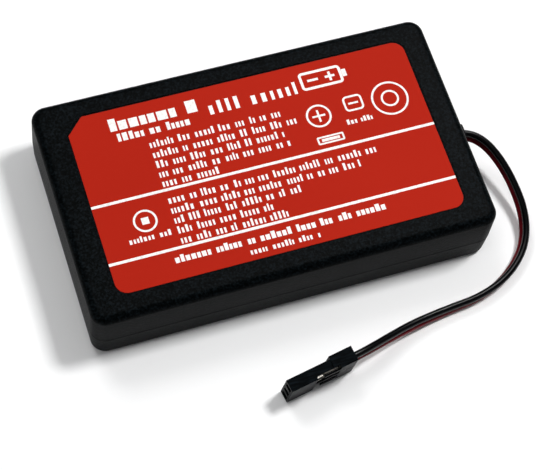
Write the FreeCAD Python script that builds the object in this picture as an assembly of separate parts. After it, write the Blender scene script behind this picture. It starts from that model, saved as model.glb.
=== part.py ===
import FreeCAD, Part
import math
import os

V = FreeCAD.Vector

# ---------------------------------------------------------------- driving dimensions, millimetres
CASE_L, CASE_W, CASE_H = 80.0, 46.7, 15.0
PARTING_Z = 6.5                      # height of the joint between the two shells
CORNER_R = 3.0                       # plan corners of the case
UPPER_DRAFT, LOWER_DRAFT = 1.0, 2.0  # degrees, each shell narrows away from the parting line
TOP_EDGE_R, BOTTOM_EDGE_R = 1.6, 1.2
WALL, TOP_WALL, FLOOR = 1.5, 1.3, 1.2
TONGUE_T, TONGUE_H, TONGUE_GAP = 0.6, 0.6, 0.05

LABEL_X, LABEL_Y = 0.2, 0.1          # centre of the label on the case's top
LABEL_L, LABEL_W, LABEL_T = 68.5, 37.5, 0.15
LABEL_R, LABEL_CUT, LABEL_GAP = 2.4, 3.4, 0.25

CELL_L, CELL_W, CELL_T = 62.0, 38.0, 5.8
CELL_X0 = -37.6                      # the closed end of both cells
TERRACE_L, TERRACE_T = 3.5, 0.3      # heat-sealed edge of the pouch at its tab end
LOWER_PAD_T, TAPE_T, UPPER_PAD_T = 0.3, 0.1, 0.5
TAB_W, TAB_T, TAB_Y = 6.0, 0.15, 11.0
FILM_T = 0.1

BOARD_X0, BOARD_X1, BOARD_W, BOARD_T = 26.6, 38.2, 37.0, 1.0
BOARD_TOP = 4.2
POST_R, PIN_R, PIN_TIP = 1.3, 0.55, 0.4
POSTS = [(28.2, -16.6), (28.2, 16.6), (36.4, -16.6), (33.0, 16.6)]
RIB_X, RIB_T, RIB_GAP = [-30.0, -12.0, 6.0], 1.2, 0.2

# Chip components on the board: x, y, and whether the part is turned across the board.
CAPACITORS = [(30.6, 7.4, True), (30.6, 16.2, True), (36.2, -6.2, False), (31.6, -14.6, True),
              (36.6, -12.6, True)]
RESISTORS = [(33.0, 7.6, True), (31.4, 4.6, False), (37.3, -8.0, True), (29.0, -6.6, False),
             (32.8, -6.2, True), (36.6, -9.6, True)]
THERMISTOR = [(28.0, 0.0, True)]

USB_Y, USB_W, USB_H, USB_L = 12.0, 7.5, 2.6, 5.2
USB_WALL = 0.25
USB_MOUTH_X = 39.6
USB_HOLE_GAP = 0.3
LIGHT_Y, LIGHT_W, LIGHT_Z0, LIGHT_Z1 = 5.4, 2.4, 4.7, 5.9

WIRE_D = 1.35
CORE_R = 0.35
GROMMET_Y, GROMMET_W, GROMMET_Z0, GROMMET_Z1 = -0.5, 2.8, 5.2, 9.1
GROMMET_OUT = 2.0                    # how far the collar stands out of the wall
NECK_IN = 0.35                       # the neck in the wall is this much smaller all round

PLUG_L, PLUG_T, PLUG_H = 14.0, 2.5, 7.62
PLUG_PITCH = 2.54
PLUG_YAW, PLUG_LEAN = 10.5, 6.0
PLUG_AT = V(-7.94, -42.04, 0.0)      # the mouth's lowest corner, resting on the table
PLUG_STEP_X, PLUG_STEP = 9.2, 0.55   # the rear part is thicker on the far side,
PLUG_RISE = 0.25                     # and stands a little proud on top
PLUG_SKIN = 0.3                      # wall between a way and the wide faces
RECESS_X0, RECESS_X1, RECESS_DEEP = 5.55, 10.5, 0.7
FINGER_X0, FINGER_W = 7.05, 1.0      # latching fingers that hold the terminals
SLOT_X0, SLOT_X1, SLOT_Z, SLOT_W, SLOT_DEEP = 12.1, 13.5, 4.1, 0.3, 0.2
CAVITY = 1.9
PIN_HOLE_T, PIN_HOLE_H = 1.6, 1.4    # mouth of each way
WIRE_END_X = 10.2                    # where each wire stops inside the housing
PIN_BOX_X1, LANCE_X1, LANCE_W = 5.5, 6.7, 0.55   # end of a terminal's box, and its locking lance

# Routes of the two wires: soldered end on the board first, crimped end last.
BLACK_ROUTE = [
    (30.0, -3.3, 4.95), (34.0, -1.9, 6.6), (38.0, -0.3, 7.85), (42.3, -0.55, 7.8),
    (45.5, -2.8, 7.45), (47.6, -7.15, 6.55), (48.9, -12.7, 5.15), (49.25, -18.85, 3.5),
    (47.15, -24.95, 2.45), (42.0, -29.8, 2.2), (35.1, -32.6, 2.2), (27.3, -33.3, 2.3),
    (19.6, -34.5, 3.0), (13.4, -36.45, 4.35), (7.29, -38.63, 6.45), (1.98, -39.61, 6.45)]
RED_ROUTE = [
    (30.0, 2.1, 4.95), (34.0, 1.0, 5.3), (38.0, -0.5, 6.45), (42.3, -0.75, 6.4),
    (45.3, -3.0, 6.05), (47.35, -7.25, 5.15), (48.6, -12.7, 3.75), (48.85, -18.75, 2.1),
    (46.75, -24.65, 1.05), (41.75, -29.4, 0.8), (35.0, -32.5, 0.8), (27.3, -33.4, 0.85),
    (19.6, -34.8, 1.55), (13.35, -36.55, 2.65), (7.24, -38.37, 3.92), (1.94, -39.35, 3.92)]

LOWER_CELL_Z = FLOOR + LOWER_PAD_T
UPPER_CELL_Z = LOWER_CELL_Z + CELL_T + TAPE_T
CEILING = CASE_H - TOP_WALL


# ---------------------------------------------------------------- plain helpers
def box(x0, x1, y0, y1, z0, z1):
    """A block between two corners."""
    return Part.makeBox(x1 - x0, y1 - y0, z1 - z0, V(x0, y0, z0))


def centred(length, width, height, x, y, z0):
    """A block centred on x and y that stands on z0."""
    return Part.makeBox(length, width, height, V(x - length / 2, y - width / 2, z0))


def rod(radius, start, direction, length):
    """A cylinder from a point along a direction."""
    return Part.makeCylinder(radius, length, V(*start), V(*direction))


def rounded_wire(length, width, radius, z, x=0.0, y=0.0):
    """A rectangle with round corners, as a wire at height z."""
    a, b = length / 2, width / 2
    corners = [(a - radius, b - radius, 0), (-a + radius, b - radius, 90),
               (-a + radius, -b + radius, 180), (a - radius, -b + radius, 270)]
    edges = []
    last = None
    for cx, cy, start in corners:
        p = [V(x + cx + radius * math.cos(math.radians(start + t)),
               y + cy + radius * math.sin(math.radians(start + t)), z) for t in (0, 45, 90)]
        if last:
            edges.append(Part.LineSegment(last, p[0]).toShape())
        edges.append(Part.Arc(p[0], p[1], p[2]).toShape())
        last = p[2]
    edges.append(Part.LineSegment(last, edges[0].Vertexes[0].Point).toShape())
    return Part.Wire(edges)


def rounded_block(length, width, radius, z0, z1, x=0.0, y=0.0):
    """A straight prism on a rounded rectangle."""
    face = Part.Face(rounded_wire(length, width, radius, z0, x, y))
    return face.extrude(V(0, 0, z1 - z0))


def strip(outline, y0, y1):
    """A sheet-metal strip: an outline in the XZ plane carried from y0 to y1."""
    points = [V(px, y0, pz) for px, pz in outline]
    face = Part.Face(Part.makePolygon(points + points[:1]))
    return face.extrude(V(0, y1 - y0, 0))


def edges_at(shape, z):
    """The edges of a shape that lie wholly at one height."""
    found = []
    for edge in shape.Edges:
        bounds = edge.BoundBox
        if abs(bounds.ZMin - z) < 1e-4 and abs(bounds.ZMax - z) < 1e-4:
            found.append(edge)
    return found


def on_table(shape):
    """Takes a connector piece from its own frame to its place, leaning on its lower edge."""
    placed = shape.copy()
    placed.rotate(V(0, 0, 0), V(1, 0, 0), PLUG_LEAN)
    placed.rotate(V(0, 0, 0), V(0, 0, 1), PLUG_YAW)
    placed.translate(PLUG_AT)
    return placed


# ---------------------------------------------------------------- case
def drafted(z_narrow, draft):
    """Half of the case's outside: full size at the parting line, narrower at the other end."""
    inset = abs(z_narrow - PARTING_Z) * math.tan(math.radians(draft))
    wide = rounded_wire(CASE_L, CASE_W, CORNER_R, PARTING_Z)
    narrow = rounded_wire(CASE_L - 2 * inset, CASE_W - 2 * inset, CORNER_R - inset, z_narrow)
    return Part.makeLoft([wide, narrow], True, True)


def cavity(z0, z1):
    """The hollow between the walls."""
    return rounded_block(CASE_L - 2 * WALL, CASE_W - 2 * WALL, CORNER_R - WALL, z0, z1)


def joint_ring(inner_gap, outer_gap, height):
    """The tongue on the lower shell, or the rebate for it when the gaps are opened."""
    outer = rounded_block(CASE_L - 2 * (WALL - TONGUE_T) + outer_gap,
                          CASE_W - 2 * (WALL - TONGUE_T) + outer_gap,
                          CORNER_R - WALL + TONGUE_T, PARTING_Z, PARTING_Z + height)
    inner = rounded_block(CASE_L - 2 * WALL - inner_gap, CASE_W - 2 * WALL - inner_gap,
                          CORNER_R - WALL, PARTING_Z, PARTING_Z + height)
    return outer.cut(inner)


def label_outline(grow, z, thickness):
    """The label's shape: three round corners and one cut corner at -X +Y."""
    length, width = LABEL_L + 2 * grow, LABEL_W + 2 * grow
    body = rounded_block(length, width, LABEL_R + grow, z, z + thickness, LABEL_X, LABEL_Y)
    left, far = LABEL_X - length / 2, LABEL_Y + width / 2
    square = box(left, left + LABEL_R + 1, far - LABEL_R - 1, far, z, z + thickness)
    corner = [V(left, far - LABEL_CUT, z), V(left + LABEL_CUT, far, z), V(left, far, z)]
    wedge = Part.Face(Part.makePolygon(corner + corner[:1])).extrude(V(0, 0, thickness))
    return body.fuse(square).removeSplitter().cut(wedge)


def wall_openings():
    """What is cut through the lead end's wall: for the strain relief, the USB mouth and the lamp."""
    neck = centred(2 * WALL, GROMMET_W - 2 * NECK_IN, GROMMET_Z1 - GROMMET_Z0 - 2 * NECK_IN,
                   CASE_L / 2 - WALL / 2, GROMMET_Y, GROMMET_Z0 + NECK_IN)
    x0 = CASE_L / 2 - 2 * WALL
    x1 = CASE_L / 2 + WALL
    gap = USB_HOLE_GAP
    mouth = box(x0, x1, USB_Y - USB_W / 2 - gap, USB_Y + USB_W / 2 + gap,
                BOARD_TOP - gap, BOARD_TOP + USB_H + gap)
    window = box(x0, x1, LIGHT_Y - LIGHT_W / 2, LIGHT_Y + LIGHT_W / 2, LIGHT_Z0, LIGHT_Z1)
    return neck.fuse(mouth).fuse(window)


def cell_ribs(z0, z1):
    """Short ribs from the long walls that keep the cells central."""
    side = CASE_W / 2 - WALL
    ribs = []
    for x in RIB_X:
        for way in (-1, 1):
            y0, y1 = sorted((way * (CELL_W / 2 + RIB_GAP), way * side))
            ribs.append(box(x - RIB_T / 2, x + RIB_T / 2, y0, y1, z0, z1))
    return ribs


def lower_shell():
    """Tray with the floor, the tongue, cell ribs and four posts under the board."""
    outside = drafted(0.0, LOWER_DRAFT)
    outside = outside.makeFillet(BOTTOM_EDGE_R, edges_at(outside, 0.0))
    shell = outside.cut(cavity(FLOOR, PARTING_Z + 1))
    shell = shell.fuse(joint_ring(0, 0, TONGUE_H))
    for rib in cell_ribs(FLOOR, PARTING_Z - 0.5):
        shell = shell.fuse(rib)
    height = BOARD_TOP - BOARD_T - FLOOR
    for px, py in POSTS:
        shell = shell.fuse(rod(POST_R, (px, py, FLOOR), (0, 0, 1), height))
        shell = shell.fuse(rod(PIN_R, (px, py, FLOOR), (0, 0, 1), height + BOARD_T + PIN_TIP))
    return shell.cut(wall_openings()).removeSplitter()


def upper_shell():
    """Cover with the label recess, the rebate for the tongue and ribs beside the cells."""
    outside = drafted(CASE_H, UPPER_DRAFT)
    outside = outside.makeFillet(TOP_EDGE_R, edges_at(outside, CASE_H))
    shell = outside.cut(cavity(PARTING_Z - 1, CEILING))
    shell = shell.cut(joint_ring(TONGUE_GAP, TONGUE_GAP, TONGUE_H + TONGUE_GAP))
    shell = shell.cut(label_outline(LABEL_GAP, CASE_H - LABEL_T, LABEL_T + 1))
    for rib in cell_ribs(PARTING_Z + 1.5, CEILING):
        shell = shell.fuse(rib)
    for px, py in POSTS[:2]:
        stake = rod(POST_R, (px, py, BOARD_TOP), (0, 0, 1), CEILING - BOARD_TOP)
        stake = stake.cut(rod(PIN_R + 0.1, (px, py, BOARD_TOP), (0, 0, 1), 2 * PIN_TIP))
        shell = shell.fuse(stake)
    return shell.cut(wall_openings()).removeSplitter()


def face_label():
    """Printed film that lies in the recess, flush with the case's top."""
    return label_outline(0.0, CASE_H - LABEL_T, LABEL_T)


# ---------------------------------------------------------------- cells
def pouch_cell(z0):
    """A laminate pouch: a soft-edged block with a thin sealed edge where the tabs come out."""
    length = CELL_L - TERRACE_L
    body = box(CELL_X0, CELL_X0 + length, -CELL_W / 2, CELL_W / 2, z0, z0 + CELL_T)
    ends = [e for e in body.Edges if abs(e.BoundBox.YLength - CELL_W) < 1e-3]
    body = body.makeFillet(0.8, ends)
    sides = [e for e in body.Edges if e.BoundBox.XLength > length - 2.0]
    body = body.makeFillet(1.4, sides)
    middle = z0 + CELL_T / 2
    terrace = box(CELL_X0 + length - 0.5, CELL_X0 + CELL_L, -CELL_W / 2 + 1, CELL_W / 2 - 1,
                  middle - TERRACE_T / 2, middle + TERRACE_T / 2)
    return body.fuse(terrace).removeSplitter()


def cell_tab(z_cell, y, level):
    """A strip from the sealed edge to its pad on the board; level counts the strips below it."""
    x0 = CELL_X0 + CELL_L
    x1 = BOARD_X0 - 1.2 + 0.7 * level
    x2 = BOARD_X0 + 3.0
    top = z_cell + CELL_T / 2 + TAB_T / 2
    foot = BOARD_TOP + (level + 1) * TAB_T
    t = TAB_T
    outline = [(x0, top), (x1 + t, top), (x1 + t, foot), (x2, foot), (x2, foot - t),
               (x1, foot - t), (x1, top - t), (x0, top - t)]
    return strip(outline, y - TAB_W / 2, y + TAB_W / 2)


def thin_pad(length, width, z0, thickness, radius):
    """A die-cut sheet centred on the cells."""
    return rounded_block(length, width, radius, z0, z0 + thickness, CELL_X0 + CELL_L / 2 - 2, 0)


def tab_insulation():
    """Film stuck over the upper cell's sealed edge and tabs, under the cover."""
    z = UPPER_CELL_Z + CELL_T / 2 + TERRACE_T / 2
    return box(CELL_X0 + CELL_L - 3.0, BOARD_X0 + 0.2, -17.0, 17.0, z, z + FILM_T)


# ---------------------------------------------------------------- board and what is on it
def circuit_board():
    """Board across the lead end, with a hole for each post's pin."""
    board = box(BOARD_X0, BOARD_X1, -BOARD_W / 2, BOARD_W / 2, BOARD_TOP - BOARD_T, BOARD_TOP)
    for px, py in POSTS:
        board = board.cut(rod(PIN_R + 0.05, (px, py, BOARD_TOP - 2), (0, 0, 1), 4))
    return board


def chip(length, width, height, x, y, pins, lead_w):
    """A moulded chip body with a row of gull-wing leads on two sides."""
    body = centred(length, width, height - 0.1, x, y, BOARD_TOP + 0.1)
    body = body.makeChamfer(0.12, edges_at(body, BOARD_TOP + height))
    step = length / pins
    for i in range(pins):
        px = x - length / 2 + step * (i + 0.5)
        for way in (-1, 1):
            y0, y1 = sorted((y + way * (width / 2 - 0.1), y + way * (width / 2 + 0.7)))
            body = body.fuse(box(px - lead_w / 2, px + lead_w / 2, y0, y1,
                                 BOARD_TOP, BOARD_TOP + 0.3))
    return body


def small_parts(size, places):
    """Like chip components, each a plain block, grouped in one node."""
    length, width, height = size
    group = []
    for x, y, turned in places:
        across = (width, length) if turned else (length, width)
        group.append(centred(across[0], across[1], height, x, y, BOARD_TOP))
    return Part.makeCompound(group)


def resettable_fuse():
    """A flat polymer fuse between the positive pad and the lead."""
    return centred(3.2, 4.5, 0.8, 35.6, -2.2, BOARD_TOP)


def charge_led():
    """A side-looking lamp at the board's edge."""
    return centred(0.8, 1.6, 1.5, BOARD_X1 - 0.6, LIGHT_Y, BOARD_TOP)


def light_pipe():
    """A clear bar that carries the lamp's light through the wall."""
    return box(BOARD_X1 - 0.1, CASE_L / 2 - 0.1, LIGHT_Y - LIGHT_W / 2, LIGHT_Y + LIGHT_W / 2,
               LIGHT_Z0, LIGHT_Z1)


# ---------------------------------------------------------------- USB socket
def d_profile(width, height, wall, x, z0):
    """The socket's outline: a rectangle whose two lower corners are cut at an angle."""
    w, cut = width / 2 - wall, 0.9 - wall / 2
    low, high = z0 + wall, z0 + height - wall
    points = [(-w + cut, low), (w - cut, low), (w, low + cut), (w, high), (-w, high), (-w, low + cut)]
    wire = Part.makePolygon([V(x, USB_Y + py, pz) for py, pz in points + points[:1]])
    return Part.Face(wire)


def usb_socket_shell():
    """Folded steel can, open at the mouth and closed at the back."""
    x0 = USB_MOUTH_X - USB_L
    can = d_profile(USB_W, USB_H, 0.0, x0, BOARD_TOP).extrude(V(USB_L, 0, 0))
    hollow = d_profile(USB_W, USB_H, USB_WALL, x0 + USB_WALL, BOARD_TOP).extrude(V(USB_L, 0, 0))
    can = can.cut(hollow)
    for way in (-1, 1):
        y0, y1 = sorted((USB_Y + way * (USB_W / 2 - 0.05), USB_Y + way * (USB_W / 2 + 0.25)))
        can = can.fuse(box(x0 + 1.2, x0 + 2.8, y0, y1, BOARD_TOP, BOARD_TOP + 1.4))
    return can


def usb_socket_tongue():
    """Plastic block at the back with the thin tongue that carries the contacts."""
    x0 = USB_MOUTH_X - USB_L + USB_WALL
    low = BOARD_TOP + USB_WALL
    back = box(x0, x0 + 1.3, USB_Y - 2.6, USB_Y + 2.6, low, BOARD_TOP + USB_H - USB_WALL)
    tongue = box(x0, USB_MOUTH_X - 0.9, USB_Y - 1.9, USB_Y + 1.9, low + 1.1, low + 1.7)
    return back.fuse(tongue).removeSplitter()


def usb_socket_contacts():
    """Five gold-plated strips under the tongue."""
    x0 = USB_MOUTH_X - USB_L + USB_WALL + 1.3
    z = BOARD_TOP + USB_WALL + 1.1
    group = []
    for i in range(5):
        y = USB_Y + (i - 2) * 0.65
        group.append(box(x0, USB_MOUTH_X - 1.1, y - 0.15, y + 0.15, z - 0.1, z))
    return Part.makeCompound(group)


# ---------------------------------------------------------------- lead
def tube(route, diameter, name):
    """Straight runs joined by tangent arcs, each arc as large as its two runs allow."""
    points = [V(*p) for p in route]
    edges = []
    start = points[0]
    radii = []
    for i in range(1, len(points) - 1):
        back = points[i - 1] - points[i]
        ahead = points[i + 1] - points[i]
        reach = 0.45 * min(back.Length, ahead.Length)
        turn = math.pi - back.getAngle(ahead)
        radii.append(reach / math.tan(turn / 2))
        back.normalize()
        ahead.normalize()
        enter = points[i] + back * reach
        leave = points[i] + ahead * reach
        inward = (back + ahead).normalize()
        bow = radii[-1] * (1 / math.cos(turn / 2) - 1)
        edges.append(Part.LineSegment(start, enter).toShape())
        edges.append(Part.Arc(enter, points[i] + inward * bow, leave).toShape())
        start = leave
    edges.append(Part.LineSegment(start, points[-1]).toShape())
    path = Part.Wire(edges)
    section = Part.Wire([Part.makeCircle(diameter / 2, points[0], points[1] - points[0])])
    solid = path.makePipeShell([section], True, True)
    expected = math.pi * diameter ** 2 / 4 * path.Length
    print(name, "length %.1f" % path.Length, "lowest %.2f" % solid.BoundBox.ZMin,
          "volume ratio %.4f" % (solid.Volume / expected),
          "radii", " ".join("%.1f" % r for r in radii))
    return solid


def exit_grommet(wires):
    """Rubber collar moulded round both wires, gripped by the wall between its two flanges."""
    height = GROMMET_Z1 - GROMMET_Z0
    wall_x = CASE_L / 2
    outer = box(wall_x, wall_x + GROMMET_OUT, GROMMET_Y - GROMMET_W / 2, GROMMET_Y + GROMMET_W / 2,
                GROMMET_Z0, GROMMET_Z1)
    outer = outer.makeFillet(0.3, [e for e in outer.Edges if e.BoundBox.XMin > wall_x + 0.1])
    neck = centred(WALL + 0.2, GROMMET_W - 2 * NECK_IN, height - 2 * NECK_IN,
                   wall_x - WALL / 2, GROMMET_Y, GROMMET_Z0 + NECK_IN)
    inner = centred(1.0, GROMMET_W + 0.6, height + 0.4, wall_x - WALL - 0.5, GROMMET_Y,
                    GROMMET_Z0 - 0.2)
    body = outer.fuse(neck).fuse(inner).removeSplitter()
    for wire in wires:
        body = body.cut(wire)
    return body


def lead_solder():
    """Each wire's tinned end in a dome of solder on the board."""
    group = []
    for route in (BLACK_ROUTE, RED_ROUTE):
        end = V(*route[0])
        away = (end - V(*route[1])).normalize()
        core = rod(CORE_R, end, away, 1.0)
        dome = Part.makeCone(1.2, 0.7, 0.9, V(end.x - 1.5, end.y, BOARD_TOP))
        group.append(dome.fuse(core))
    return Part.makeCompound(group)


# ---------------------------------------------------------------- connector
def cavity_height(index):
    """Height of a way's centre above the housing's lower edge, from 0 at the bottom."""
    return PLUG_H / 2 + (index - 1) * PLUG_PITCH


def connector_housing():
    """Three-way female housing, stood on its narrow edge, with a thicker rear part."""
    body = box(0, PLUG_L, 0, PLUG_T, 0, PLUG_H)
    body = body.fuse(box(PLUG_STEP_X, PLUG_L, 0, PLUG_T + PLUG_STEP, 0, PLUG_H + PLUG_RISE))
    body = body.cut(box(RECESS_X0, RECESS_X1, -1, RECESS_DEEP, -1, PLUG_H + 1))
    body = body.cut(box(SLOT_X0, SLOT_X1, -1, SLOT_DEEP, SLOT_Z - SLOT_W / 2, SLOT_Z + SLOT_W / 2))
    middle = PLUG_T / 2
    half = CAVITY / 2
    for index in range(3):
        z = cavity_height(index)
        body = body.cut(box(1.2, PLUG_L + 1, middle - half, middle + half, z - half, z + half))
        body = body.cut(box(-1, 1.5, middle - PIN_HOLE_T / 2, middle + PIN_HOLE_T / 2,
                            z - PIN_HOLE_H / 2, z + PIN_HOLE_H / 2))
        finger = box(FINGER_X0, RECESS_X1 + 0.3, 0, PLUG_SKIN, z - FINGER_W / 2, z + FINGER_W / 2)
        body = body.fuse(finger)
    return on_table(body.removeSplitter())


def terminal(index, wire):
    """Stamped female terminal: a square box for the pin, then the two crimps on its wire."""
    middle = PLUG_T / 2
    z = cavity_height(index)
    size = CAVITY - 0.1
    sheet = 0.2
    half = size / 2
    shell = box(1.6, PIN_BOX_X1, middle - half, middle + half, z - half, z + half)
    shell = shell.cut(box(1.5, PIN_BOX_X1 + 0.1, middle - half + sheet, middle + half - sheet,
                          z - half + sheet, z + half - sheet))
    lance = box(PIN_BOX_X1 - 0.1, LANCE_X1, middle - half, middle - half + LANCE_W,
                z + half - sheet, z + half)
    strap = box(PIN_BOX_X1 - 0.1, 12.0, middle - 0.5, middle + 0.5, z - half, z - half + sheet)
    crimp = rod(0.55, (7.6, middle, z), (1, 0, 0), WIRE_END_X - 7.6)
    web = box(7.6, WIRE_END_X, middle - 0.3, middle + 0.3, z - half, z)
    barrel = rod(WIRE_D / 2 + 0.2, (WIRE_END_X + 0.2, middle, z), (1, 0, 0), 1.6)
    whole = shell.fuse(lance).fuse(strap).fuse(crimp).fuse(web).fuse(barrel).removeSplitter()
    return on_table(whole).cut(wire)


# ---------------------------------------------------------------- all nodes
def build():
    black_wire = tube(BLACK_ROUTE, WIRE_D, "black_wire")
    red_wire = tube(RED_ROUTE, WIRE_D, "red_wire")
    return {
        "upper_shell": upper_shell(),
        "lower_shell": lower_shell(),
        "face_label": face_label(),
        "cell_upper": pouch_cell(UPPER_CELL_Z),
        "cell_lower": pouch_cell(LOWER_CELL_Z),
        "cell_upper_tab_positive": cell_tab(UPPER_CELL_Z, TAB_Y, 1),
        "cell_upper_tab_negative": cell_tab(UPPER_CELL_Z, -TAB_Y, 1),
        "cell_lower_tab_positive": cell_tab(LOWER_CELL_Z, TAB_Y, 0),
        "cell_lower_tab_negative": cell_tab(LOWER_CELL_Z, -TAB_Y, 0),
        "cell_bonding_tape": thin_pad(50.0, 30.0, LOWER_CELL_Z + CELL_T, TAPE_T, 1.0),
        "lower_foam_pad": thin_pad(50.0, 30.0, FLOOR, LOWER_PAD_T, 2.0),
        "upper_foam_pad": thin_pad(50.0, 30.0, UPPER_CELL_Z + CELL_T, UPPER_PAD_T, 2.0),
        "tab_insulation": tab_insulation(),
        "thermistor": small_parts((1.6, 0.8, 0.5), THERMISTOR),
        "circuit_board": circuit_board(),
        "charge_chip": chip(3.9, 3.0, 1.2, 31.9, 12.4, 4, 0.4),
        "protection_chip": chip(2.9, 1.6, 1.1, 33.4, -10.0, 3, 0.4),
        "protection_transistors": chip(3.0, 4.4, 1.1, 33.7, -15.4, 4, 0.3),
        "capacitors": small_parts((1.6, 0.8, 0.8), CAPACITORS),
        "resistors": small_parts((1.0, 0.5, 0.35), RESISTORS),
        "resettable_fuse": resettable_fuse(),
        "charge_led": charge_led(),
        "light_pipe": light_pipe(),
        "usb_socket_shell": usb_socket_shell(),
        "usb_socket_tongue": usb_socket_tongue(),
        "usb_socket_contacts": usb_socket_contacts(),
        "black_wire": black_wire,
        "red_wire": red_wire,
        "exit_grommet": exit_grommet([black_wire, red_wire]),
        "lead_solder": lead_solder(),
        "connector_housing": connector_housing(),
        "negative_terminal": terminal(2, black_wire),
        "positive_terminal": terminal(1, red_wire)}


os.makedirs("parts", exist_ok=True)
for node, shape in build().items():
    shape.exportStep("parts/" + node + ".step")
    print(node, "solids", len(shape.Solids), "valid", shape.isValid(), "volume %.2f" % shape.Volume)
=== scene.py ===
import math

import bmesh
import bpy
import numpy as np
from mathutils import Matrix, Vector


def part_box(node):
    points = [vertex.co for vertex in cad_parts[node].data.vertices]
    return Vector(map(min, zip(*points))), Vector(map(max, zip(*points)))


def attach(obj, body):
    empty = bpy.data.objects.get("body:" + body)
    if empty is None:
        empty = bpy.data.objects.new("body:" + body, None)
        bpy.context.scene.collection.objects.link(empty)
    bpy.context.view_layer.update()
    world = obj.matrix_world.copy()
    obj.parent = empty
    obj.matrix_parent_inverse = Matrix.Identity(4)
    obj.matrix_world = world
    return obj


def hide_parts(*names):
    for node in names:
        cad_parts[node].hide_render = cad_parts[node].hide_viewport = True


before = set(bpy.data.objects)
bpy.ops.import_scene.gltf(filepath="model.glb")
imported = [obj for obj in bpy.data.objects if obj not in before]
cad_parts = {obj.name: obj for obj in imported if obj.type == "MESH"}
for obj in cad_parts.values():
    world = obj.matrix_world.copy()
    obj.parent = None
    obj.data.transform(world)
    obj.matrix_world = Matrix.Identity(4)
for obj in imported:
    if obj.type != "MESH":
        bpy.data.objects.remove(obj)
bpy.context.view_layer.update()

# ---------------------------------------------------------------- lower shell of the case
# A tray moulded in black ABS: floor, drafted walls, a thin tongue round its rim that locates the
# cover, short ribs beside the cells, and four posts with pins that hold the circuit board.
MM = 0.001


def node_box(node):
    """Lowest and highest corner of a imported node, in millimetres."""
    return [np.array(corner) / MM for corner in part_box(node)]


def walk(corners, radii, steps, stops):
    """Walks a convex polygon anticlockwise, rounding each corner by its own radius.

    A corner's centre is the corner moved in by the radius times the sum of its two side normals over one
    plus their dot product. A point of the outline is a centre plus the radius along a direction: the
    direction turns evenly from one side's normal to the next at a corner, and stays put along a side,
    where the centre and the radius change evenly at the given shares of the side's length."""
    corners = np.array(corners, float)
    radii = np.array(radii, float)
    sides = np.roll(corners, -1, 0) - corners
    out = np.stack([sides[:, 1], -sides[:, 0]], -1) / np.linalg.norm(sides, axis=1)[:, None]
    before = np.roll(out, 1, 0)
    centres = corners - radii[:, None] * (before + out) / (1 + (before * out).sum(1))[:, None]
    places, ways, reach = [], [], []
    for k in range(len(corners)):
        after = (k + 1) % len(corners)
        start = np.arctan2(before[k, 1], before[k, 0])
        turn = (np.arctan2(out[k, 1], out[k, 0]) - start) % (2 * np.pi)
        fan = np.linspace(0, 1, steps[k] + 1) if steps[k] else np.array([0.5])
        angles = start + turn * fan
        share = np.asarray(stops[k], float)[:, None]
        places += [np.repeat(centres[k:k + 1], len(angles), 0),
                   centres[k] + (centres[after] - centres[k]) * share]
        ways += [np.stack([np.cos(angles), np.sin(angles)], -1), np.repeat(out[k:k + 1], len(share), 0)]
        reach += [np.full(len(angles), radii[k]), radii[k] + (radii[after] - radii[k]) * share[:, 0]]
    return np.vstack(places), np.vstack(ways), np.concatenate(reach)


def rings(track, inset, height):
    """Stacks outlines: each one is the walked outline pulled in by its inset, lying at its height."""
    places, ways, reach = track
    inset = np.asarray(inset, float)
    flat = places[None] + (reach[None] - inset[:, None])[..., None] * ways[None]
    level = np.broadcast_to(np.asarray(height, float)[:, None, None], flat.shape[:2] + (1,))
    return np.concatenate([flat, level], -1)


def loft(stack, openings=()):
    """Closed skin over a stack of rings: point (ring, step) is joined to the next step and the next ring,
    and the first and last ring are filled. An opening leaves out the faces between two pairs of rings
    and two steps, and lines the hole with the faces that join its edges through the wall."""
    count, around = stack.shape[:2]
    ring, step = np.meshgrid(np.arange(count - 1), np.arange(around), indexing="ij")
    after = (step + 1) % around
    quads = np.stack([ring * around + step, ring * around + after,
                      (ring + 1) * around + after, (ring + 1) * around + step], -1)
    keep = np.ones((count - 1, around), bool)
    lining = []
    for (a, b), (c, d), (left, right) in openings:
        keep[a:b, left:right] = False
        keep[c:d, left:right] = False
        across = np.arange(left, right)
        for one, other in [(a, d)] + ([(c, b)] if b != c else []):
            lining += np.stack([one * around + across, one * around + across + 1,
                                other * around + across + 1, other * around + across], -1).tolist()
        through = np.unique(np.r_[a:b + 1, c:d + 1]) * around
        lining += [(through + right).tolist(), (through + left)[::-1].tolist()]
    first = np.arange(around)[::-1].tolist()
    last = ((count - 1) * around + np.arange(around)).tolist()
    return stack.reshape(-1, 3), quads[keep].tolist() + lining + [first, last]


def bars(low, high):
    """Blocks between pairs of opposite corners, as whole arrays: eight corners and six faces each."""
    low, high = np.atleast_2d(low).astype(float), np.atleast_2d(high).astype(float)
    pick = np.array([(0, 0, 0), (1, 0, 0), (1, 1, 0), (0, 1, 0), (0, 0, 1), (1, 0, 1), (1, 1, 1), (0, 1, 1)])
    points = np.where(pick[None] == 1, high[:, None], low[:, None])
    six = np.array([(3, 2, 1, 0), (4, 5, 6, 7), (0, 1, 5, 4), (1, 2, 6, 5), (2, 3, 7, 6), (3, 0, 4, 7)])
    faces = np.arange(len(low))[:, None, None] * 8 + six[None]
    return points.reshape(-1, 3), faces.reshape(-1, 4).tolist()


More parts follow.
